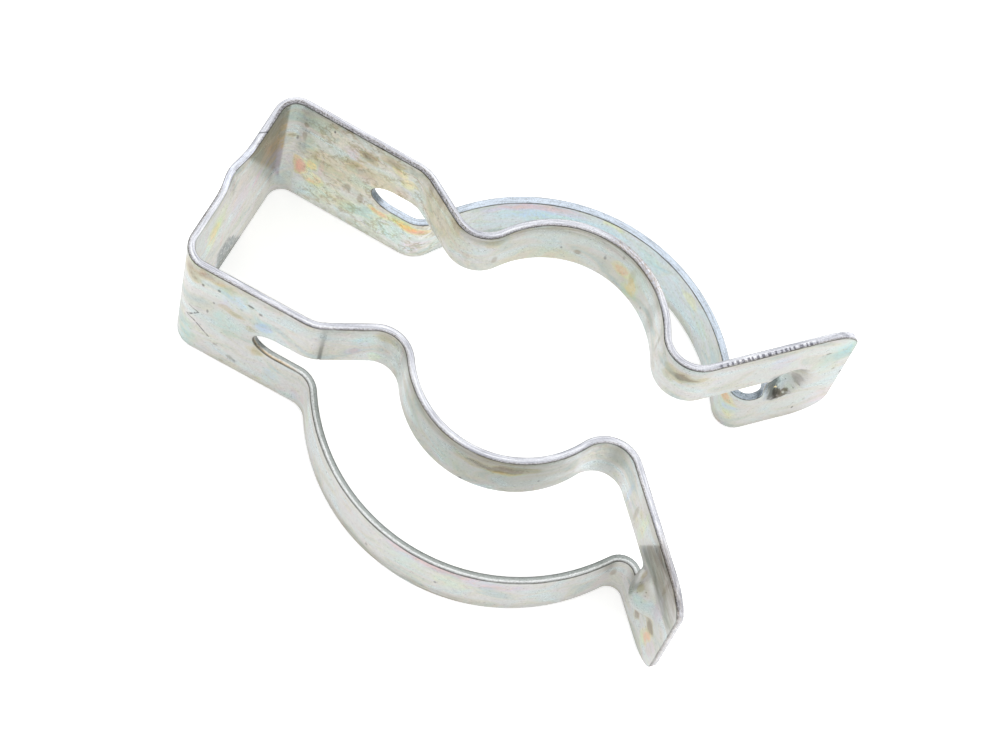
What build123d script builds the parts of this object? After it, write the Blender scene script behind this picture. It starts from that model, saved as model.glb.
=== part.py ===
"""Open two-size pipe clip folded from one slotted strip of zinc-plated steel.

Millimetres. +X runs from the short back web along the arms to the flared ears,
+Z is the axis of the pipe and the width of the strip. The origin is at the middle
of the web's back. Arm A is on the +Y side and arm B on the -Y side.
Each arm is slit by a long slot into two straps. The upper strap dips inwards and
makes the seat for the small pipe, the lower strap bows outwards around the large one.
"""
import os
from math import cos, radians, sin, sqrt

from build123d import *

# strip
strip_width = 25.0
sheet = 0.85
slot_width = 5.5
half_width = strip_width / 2

# back web and its corners, lengths taken on the middle of the sheet
half_web_flat = 8.47
corner_inside = 1.85

# pipes that the two pairs of seats close on
small_pipe = 22.0
large_pipe = 42.0
seat_play = 0.3

# upper strap: dip inwards, small seat, flare into the ear
dip_angle = 29.5
dip_bend_inside = 4.2
dip_flat = 5.0
lip_angle = 86.7
lip_inside = 3.2
small_seat_angle = 119.6
throat_inside = 3.2

# lower strap: step outwards, large seat, flare into the ear
step_angle = 58.3
step_inside = 2.5
large_seat_angle = 114.8
heel_inside = 1.6

# ears
ear_angle = 45.75
ear_corner = 4.0
slot_end = 8.2
slot_end_corner = 0.9

# dimple pressed outwards in each ear, just past the end of the slot
dimple_centre = 10.6
dimple_half_length = 2.6
dimple_half_height = 4.3
dimple_depth = 1.9

# the two arms differ a little, as the strip was not folded exactly at its middle:
# lean out from square, flat length to the kink, slot's first end, length of ear
ARM_A = {"side": 1, "lean": 1.3, "flat": 13.5, "slot_start": 9.3, "ear": 17.0}
ARM_B = {"side": -1, "lean": -2.2, "flat": 12.3, "slot_start": 7.1, "ear": 16.5}

# how far cuts run past the metal that they take away
cut_margin = 3.0
cut_inwards = 10.0
cut_outwards = 30.0
cut_past_straps = 14.0

# what still counts as the same place or the same length
same_place = 0.3
same_length = 0.01


def middle(inside):
    """Bend radius on the middle of the sheet."""
    return inside + sheet / 2


def upper_moves(arm):
    """Straights and bends of an arm with its upper strap, outward bends positive."""
    flare = ear_angle + dip_angle - lip_angle + small_seat_angle
    return [
        ("flat", half_web_flat),
        ("bend", arm["lean"] - 90, middle(corner_inside)),
        ("flat", arm["flat"]),
        ("bend", -dip_angle, middle(dip_bend_inside)),
        ("flat", dip_flat),
        ("bend", lip_angle, middle(lip_inside)),
        ("bend", -small_seat_angle, middle(small_pipe / 2 + seat_play)),
        ("bend", flare, middle(throat_inside)),
        ("flat", arm["ear"]),
    ]


def lower_moves(arm, step_delay, ear_flat):
    """Straights and bends of an arm with its lower strap."""
    flare = ear_angle - step_angle + large_seat_angle
    return [
        ("flat", half_web_flat),
        ("bend", arm["lean"] - 90, middle(corner_inside)),
        ("flat", arm["flat"] + step_delay),
        ("bend", step_angle, middle(step_inside)),
        ("bend", -large_seat_angle, middle(large_pipe / 2 + seat_play)),
        ("bend", flare, middle(heel_inside)),
        ("flat", ear_flat),
    ]


def ends(moves, count):
    """Point and heading in plan after a number of moves, on the middle of the sheet."""
    x, y, heading = sheet / 2, 0.0, 90.0
    for kind, size, *radius in moves[:count]:
        a = radians(heading)
        if kind == "flat":
            x, y = x + size * cos(a), y + size * sin(a)
        else:
            turn = 1 if size > 0 else -1
            b = radians(heading + size)
            x -= turn * radius[0] * (sin(a) - sin(b))
            y += turn * radius[0] * (cos(a) - cos(b))
            heading += size
    return x, y, radians(heading)


def lower_run(arm):
    """Moves of the lower strap, set so that both straps run into one flat ear of one length."""
    ux, uy, a = ends(upper_moves(arm), 9)
    lx, ly, _ = ends(lower_moves(arm, 0.0, 0.0), 6)
    gap = (ly - uy) * cos(a) - (lx - ux) * sin(a)
    delay = gap / sin(radians(ear_angle))
    lx, ly, _ = ends(lower_moves(arm, delay, 0.0), 6)
    return lower_moves(arm, delay, (ux - lx) * cos(a) + (uy - ly) * sin(a))


def draw_side(arm, moves, offset):
    """Draw one face of the sheet; offset is outwards from the middle of the sheet."""
    side = arm["side"]
    x, y, heading = sheet / 2 - offset, 0.0, 90.0
    for kind, size, *radius in moves:
        a = radians(heading)
        if kind == "flat":
            nx, ny = x + size * cos(a), y + size * sin(a)
            Line((x, side * y), (nx, side * ny))
        else:
            turn = 1 if size > 0 else -1
            r = radius[0] - turn * offset
            cx, cy = x - turn * r * sin(a), y + turn * r * cos(a)
            m, b = radians(heading + size / 2), radians(heading + size)
            mx, my = cx + turn * r * sin(m), cy - turn * r * cos(m)
            nx, ny = cx + turn * r * sin(b), cy - turn * r * cos(b)
            ThreePointArc((x, side * y), (mx, side * my), (nx, side * ny))
            heading += size
        x, y = nx, ny
    return x, side * y


def draw_half(arm, moves):
    """Closed outline in plan of half the clip, from the middle of the web to the ear's end."""
    outer = draw_side(arm, moves, sheet / 2)
    inner = draw_side(arm, moves, -sheet / 2)
    Line(outer, inner)
    Line((0, 0), (sheet, 0))


def flat_plane(arm, count):
    """Inner face of a flat that starts after so many moves: x along it, z outwards."""
    x, y, a = ends(upper_moves(arm), count)
    side = arm["side"]
    out = (-sin(a), side * cos(a), 0)
    origin = (x - out[0] * sheet / 2, side * y - out[1] * sheet / 2, 0)
    return Plane(origin=origin, x_dir=(cos(a), side * sin(a), 0), z_dir=out)


def arm_plane(arm):
    return flat_plane(arm, 2)


def ear_plane(arm):
    return flat_plane(arm, 8)


def dimple_plane(arm):
    """Plane across the ear through the dimple: x outwards, y along the pipe."""
    ear = ear_plane(arm)
    return Plane(origin=ear.from_local_coords((dimple_centre, 0, 0)), x_dir=ear.z_dir, z_dir=ear.x_dir)


# the dimple's section is an arc spun about a line set back from the ear's inner face
spin_radius = (dimple_half_length**2 + dimple_depth**2) / (2 * dimple_depth)
spin_back = spin_radius - dimple_depth
long_radius = (dimple_half_height**2 + dimple_depth**2) / (2 * dimple_depth)


def draw_dimple(grow):
    """Half lens of the dimple's inside, or of its outside when grown by the sheet."""
    top = dimple_depth + grow
    reach = long_radius + grow
    half = sqrt(reach**2 - (reach - spin_radius - grow)**2)
    Line((-spin_back, -half), (-spin_back, half))
    ThreePointArc((-spin_back, half), (top, 0), (-spin_back, -half))


with BuildPart() as pipe_clip:
    # upper half of the strip, with the straps of the small seats
    with BuildSketch(Plane.XY):
        with BuildLine():
            draw_half(ARM_A, upper_moves(ARM_A))
        make_face()
        with BuildLine():
            draw_half(ARM_B, upper_moves(ARM_B))
        make_face()
    extrude(amount=half_width)

    # lower half of the strip, with the straps of the large seats
    with BuildSketch(Plane.XY):
        with BuildLine():
            draw_half(ARM_A, lower_run(ARM_A))
        make_face()
        with BuildLine():
            draw_half(ARM_B, lower_run(ARM_B))
        make_face()
    extrude(amount=-half_width)

    for arm in (ARM_A, ARM_B):
        # dimple: outside skin, cleared from the inner side, then its hollow
        across = dimple_plane(arm)
        spin = Axis(across.from_local_coords((-spin_back, 0, 0)), across.y_dir)
        with BuildSketch(across):
            with BuildLine():
                draw_dimple(sheet)
            make_face()
        revolve(axis=spin)
        with BuildSketch(ear_plane(arm)):
            with Locations((dimple_centre, 0)):
                Rectangle(
                    2 * (spin_radius + sheet + cut_margin),
                    2 * (dimple_half_height + sheet + cut_margin),
                )
        extrude(amount=-2 * (spin_radius + sheet), mode=Mode.SUBTRACT)
        with BuildSketch(across):
            with BuildLine():
                draw_dimple(0.0)
            make_face()
        revolve(axis=spin, mode=Mode.SUBTRACT)

        # slot: round first end in the flat arm
        first = arm["slot_start"] + slot_width / 2
        straight = arm["flat"] + cut_margin - first
        with BuildSketch(arm_plane(arm)):
            with Locations((first, 0)):
                Circle(slot_width / 2)
            with Locations((first + straight / 2, 0)):
                Rectangle(straight, slot_width)
        extrude(amount=sheet + cut_margin, both=True, mode=Mode.SUBTRACT)

        # slot: square last end in the ear, with small round corners
        with BuildSketch(ear_plane(arm)):
            with Locations(((slot_end - cut_margin) / 2, 0)):
                RectangleRounded(slot_end + cut_margin, slot_width, slot_end_corner)
        extrude(amount=sheet + cut_margin, both=True, mode=Mode.SUBTRACT)

    # slot: everything between the two ends, from one arm's kink to its ear
    with BuildSketch(Plane.XY.offset(-slot_width / 2)):
        for arm in (ARM_A, ARM_B):
            ear = ear_plane(arm)
            root = arm_plane(arm)
            kink = arm["flat"]
            reach = slot_end - cut_margin
            past = slot_end + cut_past_straps
            above = dimple_depth + 2 * sheet
            with BuildLine():
                Polyline(
                    [
                        (p.X, p.Y)
                        for p in (
                            root.from_local_coords((kink, 0, -cut_inwards)),
                            root.from_local_coords((kink, 0, cut_outwards)),
                            ear.from_local_coords((past, 0, cut_inwards + cut_outwards)),
                            ear.from_local_coords((past, 0, above)),
                            ear.from_local_coords((reach, 0, above)),
                            ear.from_local_coords((reach, 0, -cut_margin)),
                            root.from_local_coords((kink + 2 * cut_past_straps, 0, -cut_inwards)),
                        )
                    ],
                    close=True,
                )
            make_face()
    extrude(amount=slot_width, mode=Mode.SUBTRACT)

    # rounded corners of the ears
    corners = []
    for arm in (ARM_A, ARM_B):
        tip = ear_plane(arm).from_local_coords((arm["ear"], 0, sheet / 2))
        for edge in pipe_clip.edges().filter_by(GeomType.LINE):
            c = edge.center()
            near = sqrt((c.X - tip.X) ** 2 + (c.Y - tip.Y) ** 2) < same_place
            if near and abs(edge.length - sheet) < same_length:
                corners.append(edge)
    fillet(corners, radius=ear_corner)

pipe_clip.part.label = "pipe_clip"

os.makedirs("parts", exist_ok=True)
export_step(pipe_clip.part, "parts/pipe_clip.step")
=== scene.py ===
"""Dressed pipe clip: one folded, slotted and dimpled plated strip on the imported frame.

Sizes are in millimetres until a point is written into the mesh.
"""
from math import cos, exp, pi, radians, sin, sqrt

import bmesh
import bpy
import numpy as np
from mathutils import Matrix, Vector, noise


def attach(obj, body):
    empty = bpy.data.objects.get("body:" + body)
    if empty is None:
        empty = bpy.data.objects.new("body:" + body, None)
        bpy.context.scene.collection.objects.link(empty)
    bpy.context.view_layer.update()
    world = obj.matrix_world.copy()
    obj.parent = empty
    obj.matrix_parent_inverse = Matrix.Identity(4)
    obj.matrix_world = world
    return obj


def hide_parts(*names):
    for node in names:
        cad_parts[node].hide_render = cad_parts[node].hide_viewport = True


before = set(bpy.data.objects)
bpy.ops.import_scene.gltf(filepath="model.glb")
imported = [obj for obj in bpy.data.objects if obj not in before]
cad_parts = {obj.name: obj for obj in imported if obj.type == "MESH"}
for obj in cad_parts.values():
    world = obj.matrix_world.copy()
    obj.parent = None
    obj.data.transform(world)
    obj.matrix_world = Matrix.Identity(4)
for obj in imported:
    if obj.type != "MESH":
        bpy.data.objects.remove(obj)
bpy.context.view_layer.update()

MM = 0.001

# without a seed of its own, noise_vector changes from run to run
noise.seed_set(1)

# strip and its folds, the same sizes as the solids
strip_width = 25.0
sheet = 0.85
slot_width = 5.5
half_width = strip_width / 2
half_slot = slot_width / 2
half_sheet = sheet / 2
half_web_flat = 8.47
corner_inside = 1.85
small_pipe = 22.0
large_pipe = 42.0
seat_play = 0.3
dip_angle = 29.5
dip_bend_inside = 4.2
dip_flat = 5.0
lip_angle = 86.7
lip_inside = 3.2
small_seat_angle = 119.6
throat_inside = 3.2
step_angle = 58.3
step_inside = 2.5
large_seat_angle = 114.8
heel_inside = 1.6
ear_angle = 45.75
ear_corner = 4.0
slot_end = 8.2
slot_end_corner = 0.9
dimple_centre = 10.6
dimple_half_length = 2.6
dimple_half_height = 4.3
dimple_depth = 1.9
dimple_rim = 0.16
ARM_A = {"side": 1, "lean": 1.3, "flat": 13.5, "slot_start": 9.3, "ear": 17.0}
ARM_B = {"side": -1, "lean": -2.2, "flat": 12.3, "slot_start": 7.1, "ear": 16.5}

# knock on the web's upper edge: middle, spread along the web and down it, push outwards
knock_at = -0.1
knock_spread = 1.9
knock_down = 3.5
knock_push = 0.5

# crease across arm B's upper strap, at the end of the bend past its kink
crease_past = 2.15
crease_half = 0.14
crease_deep = 0.05

# rounding of the cut edges, and their unevenness in coarse and fine waves
edge_round = 0.16
coarse_wave = 0.035
fine_wave = 0.02

# how finely the strip is divided: lengths along it, turns at the slots' ends, counts
column_step = 0.42
heel_step = 0.3
slot_end_step = 0.18
crease_near = 0.9
crease_step = 0.09
round_end_turn = pi / 36
square_end_turn = pi / 18
ear_columns = 34
ear_corner_columns = 14
rows = 28
row_crowding = 1.15
edge_turn_steps = 3
edge_face_steps = 4

# how far the columns' outer ends have run on when their inner ends have turned a slot's
# last corner, and when they have reached the middle of its end
corner_lean = 0.6
end_lean = 1.9

# third coordinate of the outer skin in the places kept for the material, the inner skin's is
# minus this
skin_apart = 20.0

# vertices that are nearer than this, in metres, are one
weld = 2e-7


def middle(inside):
    """Bend radius on the middle of the sheet."""
    return inside + half_sheet


def upper_moves(arm):
    """Straights and bends of an arm with its upper strap, outward bends positive."""
    flare = ear_angle + dip_angle - lip_angle + small_seat_angle
    return [
        ("flat", half_web_flat),
        ("bend", arm["lean"] - 90, middle(corner_inside)),
        ("flat", arm["flat"]),
        ("bend", -dip_angle, middle(dip_bend_inside)),
        ("flat", dip_flat),
        ("bend", lip_angle, middle(lip_inside)),
        ("bend", -small_seat_angle, middle(small_pipe / 2 + seat_play)),
        ("bend", flare, middle(throat_inside)),
        ("flat", arm["ear"]),
    ]


def lower_moves(arm, step_delay, ear_flat):
    """Straights and bends of an arm with its lower strap."""
    flare = ear_angle - step_angle + large_seat_angle
    return [
        ("flat", half_web_flat),
        ("bend", arm["lean"] - 90, middle(corner_inside)),
        ("flat", arm["flat"] + step_delay),
        ("bend", step_angle, middle(step_inside)),
        ("bend", -large_seat_angle, middle(large_pipe / 2 + seat_play)),
        ("bend", flare, middle(heel_inside)),
        ("flat", ear_flat),
    ]


class Run:
    """The middle of the sheet in plan, followed from the middle of the web to an ear."""

    def __init__(self, moves):
        self.pieces = []
        u, x, y, h = 0.0, half_sheet, 0.0, pi / 2
        for kind, size, *radius in moves:
            length = size if kind == "flat" else abs(radians(size)) * radius[0]
            curve = 0.0 if kind == "flat" else (1 if size > 0 else -1) / radius[0]
            self.pieces.append((u, x, y, h, curve))
            x, y, h = self.step(x, y, h, curve, length)
            u += length
        self.end = u
        self.last_flat = self.pieces[-1][0]

    @staticmethod
    def step(x, y, h, curve, d):
        """Point and heading a distance d further on, on a straight or an arc."""
        if curve == 0:
            return x + d * cos(h), y + d * sin(h), h
        g = h + curve * d
        return x + (sin(g) - sin(h)) / curve, y - (cos(g) - cos(h)) / curve, g

    def at(self, u):
        """Point and heading at a distance along the sheet."""
        piece = self.pieces[0]
        for p in self.pieces:
            if p[0] <= u:
                piece = p
        start, x, y, h, curve = piece
        return self.step(x, y, h, curve, u - start)


def make_runs(arm):
    """Upper and lower runs of an arm, which share their web, flat arm and ear."""
    upper = Run(upper_moves(arm))
    bare = Run(lower_moves(arm, 0.0, 0.0))
    ux, uy, a = upper.at(upper.end)
    lx, ly, _ = bare.at(bare.end)
    delay = ((ly - uy) * cos(a) - (lx - ux) * sin(a)) / sin(radians(ear_angle))
    bare = Run(lower_moves(arm, delay, 0.0))
    lx, ly, _ = bare.at(bare.end)
    ear_flat = (ux - lx) * cos(a) + (uy - ly) * sin(a)
    return upper, Run(lower_moves(arm, delay, ear_flat))


def soft_max(v, knee):
    """v where it is well above 0, 0 where it is well below, rounded between."""
    return 0.5 * (v + sqrt(v * v + knee * knee))


def dimple(s, z):
    """Outward push of the ear at s along it and height z."""
    lens = 1 - ((s - dimple_centre) / dimple_half_length) ** 2 - (z / dimple_half_height) ** 2
    return dimple_depth * soft_max(lens, dimple_rim)


def uneven(u, z):
    """Slight unevenness of the sheared edges."""
    coarse = noise.noise(Vector((u * 0.9, z * 3.1, 1.7)))
    fine = noise.noise(Vector((u * 3.7, z, 8.2)))
    return coarse_wave * coarse + fine_wave * fine


class Strip:
    """Vertices and faces of the whole strip, before they are welded."""

    def __init__(self):
        self.points, self.places, self.cuts, self.quads = [], [], [], []

    def add(self, point, place, cut):
        self.points.append(point)
        self.places.append(place)
        self.cuts.append(cut)
        return len(self.points) - 1


def spread(start, end, step):
    """Even distances from start up to, but not including, end."""
    n = max(2, round((end - start) / step))
    return [start + (end - start) * k / n for k in range(n)]


def build_arm(strip, arm):
    """Adds one arm, from the middle of the web to the end of its ear."""
    runs = make_runs(arm)
    side = arm["side"]
    corner_end = half_web_flat + abs(radians(arm["lean"] - 90)) * middle(corner_inside)
    slot_first = corner_end + arm["slot_start"]
    first_centre = slot_first + half_slot
    kink = corner_end + arm["flat"]
    ear = arm["ear"]
    ear_starts = [run.end - ear for run in runs]
    heel = ear - (runs[1].end - runs[1].last_flat)
    grow = half_slot + edge_round
    top = half_width - edge_round
    crease = kink + crease_past
    crease_far = 4 * crease_half
    dimple_from = 0.5 * slot_end

    def shared(which, u):
        """Distance along the flat strip, the same for both straps where they meet again."""
        start = ear_starts[which]
        if u <= kink:
            return u
        if u >= start:
            return ear_starts[0] + u - start
        return kink + (u - kink) * (ear_starts[0] - kink) / (start - kink)

    def point(which, u, z, w):
        """Point of the sheet: u along that run, z across it, w outwards from its middle."""
        run = runs[which]
        x, y, h = run.at(u)
        s = u - ear_starts[which]
        if s > dimple_from:
            w += dimple(s, z)
        if u < half_web_flat and z > 0:
            across = (side * u - knock_at) / knock_spread
            w += knock_push * exp(-across * across - ((half_width - z) / knock_down) ** 2)
        if side < 0 and z > 0 and abs(u - crease) < crease_far:
            w -= crease_deep * exp(-(((u - crease) / crease_half) ** 2))
        return Vector((x - sin(h) * w, side * (y + cos(h) * w), z)) * MM

    def add(which, u, z, w, cut):
        place = Vector((side * shared(which, u), z, skin_apart * w / half_sheet))
        return strip.add(point(which, u, z, w), place, cut)

    # section of the cut edge: distance out from the face's rim, and place through the sheet
    section = []
    for k in range(edge_turn_steps + 1):
        a = pi / 2 * k / edge_turn_steps
        section.append((edge_round * sin(a), half_sheet - edge_round * (1 - cos(a))))
    plain = half_sheet - edge_round
    for k in range(1, edge_face_steps):
        section.append((edge_round, plain - 2 * plain * k / edge_face_steps))
    section += [(e, -w) for e, w in reversed(section[: edge_turn_steps + 1])]

    for which, sign in ((0, 1), (1, -1)):
        ear_start = ear_starts[which]
        inner, outer, slot_rim, ear_rim = [], [], {}, {}

        def column(inside, outside, normal=None):
            """One line of vertices across the half strip; normal points into the slot."""
            if normal is not None:
                slot_rim[len(inner)] = normal
            inner.append(inside)
            outer.append(outside)

        # solid web and arm, then the slot's round first end
        for u in spread(0.0, slot_first - edge_round, column_step):
            column((u, 0.0), (u, top))
        for a in spread(0.0, pi / 2, round_end_turn):
            u = first_centre - grow * cos(a)
            column((u, grow * sin(a)), (u, top), (cos(a), -sin(a)))
        # flat arm and strap beside the slot
        stops = spread(first_centre, kink, column_step)
        if side < 0 and which == 0:
            before = crease - crease_near / 2
            after = crease + crease_near / 2
            stops += spread(kink, before, column_step)
            stops += spread(before, after, crease_step)
            stops += spread(after, ear_start + heel, column_step)
        else:
            stops += spread(kink, ear_start + heel, column_step)
        turn = slot_end - slot_end_corner
        if heel < turn:
            stops += spread(ear_start + heel, ear_start + turn, heel_step)
        for u in stops:
            column((u, grow), (u, top), (0.0, -1.0))
        # the slot's square last end with its small round corners
        turn = max(turn, heel)
        corner = slot_end_corner + edge_round
        end_half = half_slot - slot_end_corner
        for a in spread(0.0, pi / 2, square_end_turn):
            s = turn + (slot_end + edge_round - turn) * sin(a)
            z = end_half + corner * cos(a)
            s_out = turn + corner_lean * a / (pi / 2)
            column((ear_start + s, z), (ear_start + s_out, top), (-sin(a), -cos(a)))
        for z in spread(end_half, 0.0, -slot_end_step):
            done = 1 - z / end_half
            s_out = turn + corner_lean + (end_lean - corner_lean) * done
            column((ear_start + slot_end + edge_round, z), (ear_start + s_out, top), (-1.0, 0.0))
        # solid ear with its round corner
        s_in = slot_end + edge_round
        s_out = turn + end_lean
        s_round = ear - ear_corner
        for k in range(ear_columns):
            f = k / ear_columns
            column(
                (ear_start + s_in + (s_round - s_in) * f, 0.0),
                (ear_start + s_out + (s_round - s_out) * f, top),
                (-1.0, 0.0) if k == 0 else None,
            )
        r = ear_corner - edge_round
        for k in range(ear_corner_columns + 1):
            a = pi / 2 * k / ear_corner_columns
            ear_rim[len(inner)] = (sin(a), cos(a))
            column(
                (ear_start + s_round + r * k / ear_corner_columns, 0.0),
                (ear_start + s_round + r * sin(a), half_width - ear_corner + r * cos(a)),
            )

        # the two faces of the sheet
        count = len(inner)
        for w in (half_sheet, -half_sheet):
            grid = []
            for (ui, zi), (uo, zo) in zip(inner, outer):
                line = []
                for j in range(rows + 1):
                    f = (j / rows) ** row_crowding
                    u = ui + (uo - ui) * f
                    z = zi + (zo - zi) * f
                    line.append(add(which, u, sign * z, w, 0.0))
                grid.append(line)
            for k in range(count - 1):
                for j in range(rows):
                    here, beyond = grid[k], grid[k + 1]
                    strip.quads.append((here[j], beyond[j], beyond[j + 1], here[j + 1]))

        def cut_edge(rim, cut):
            """Rounded band along a rim of the faces; cut is 1 outside and -1 in the slot."""
            rings = []
            for (u, z), (nu, nz) in rim:
                shift = uneven(side * shared(which, u), sign * z)
                ring = []
                for e, w in section:
                    done = e / edge_round
                    d = e + shift * done
                    ring.append(add(which, u + nu * d, sign * (z + nz * d), w, cut * done))
                rings.append(ring)
            for a, b in zip(rings, rings[1:]):
                for j in range(len(section) - 1):
                    strip.quads.append((a[j], a[j + 1], b[j + 1], b[j]))

        rim = [(outer[k], ear_rim.get(k, (0.0, 1.0))) for k in range(count)]
        last_u, last_z = outer[-1]
        for j in range(rows - 1, -1, -1):
            rim.append(((last_u, last_z * (j / rows) ** row_crowding), (1.0, 0.0)))
        cut_edge(rim, 1.0)
        cut_edge([(inner[k], slot_rim[k]) for k in sorted(slot_rim)], -1.0)


# patches in the plating's film, and three entries that are painted light instead: the grey
# darkening is painted shade, the grey lightening a painted highlight and the pale blue one a
# painted reflection of the sky; for each, share of the plain colour left in red, green, blue,
# first in the thin film round a patch, then in its thick middle
FILM = {
    "teal": ((0.95, 1.02, 0.98), (0.80, 1.00, 1.01)),
    "blue": ((0.92, 1.02, 1.02), (0.76, 0.92, 1.16)),
    "lilac": ((1.02, 0.95, 1.00), (0.92, 0.88, 1.06)),
    "pink": ((0.98, 0.94, 1.05), (1.08, 0.83, 0.88)),
    "red": ((1.12, 0.98, 0.68), (1.16, 0.66, 0.52)),
    "orange": ((1.08, 1.05, 0.78), (1.20, 0.80, 0.52)),
    "yellow": ((0.98, 1.06, 0.90), (1.14, 1.02, 0.62)),
    "green": ((1.00, 1.03, 0.90), (0.93, 1.08, 0.88)),
    "olive": ((0.98, 0.94, 0.80), (0.70, 0.64, 0.46)),
    "brown": ((0.90, 0.84, 0.68), (0.56, 0.47, 0.36)),
    "pale": ((1.08, 1.08, 1.10), (1.25, 1.25, 1.32)),
    "dark": ((0.60, 0.58, 0.55), (0.10, 0.10, 0.10)),
    # painted reflection of the sky, lighter and bluer
    "sky": ((1.03, 1.09, 1.13), (1.06, 1.18, 1.26)),
    # painted shade
    "painted_shade": ((0.92, 0.92, 0.90), (0.76, 0.76, 0.73)),
    # painted highlight
    "painted_light": ((1.08, 1.07, 1.06), (1.24, 1.22, 1.22)),
}

# stains no longer than this are exact ovals in the material, larger ones are vertex layers
small_stain = 0.45

# outlines of the vertex layers: scale of their waves, how far those push along and across,
# and the distance in half sizes at which a stain has faded to nothing
patch_waves = 0.55
push_along = 0.7
push_across = 0.9
fall_end = 1.7
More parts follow.
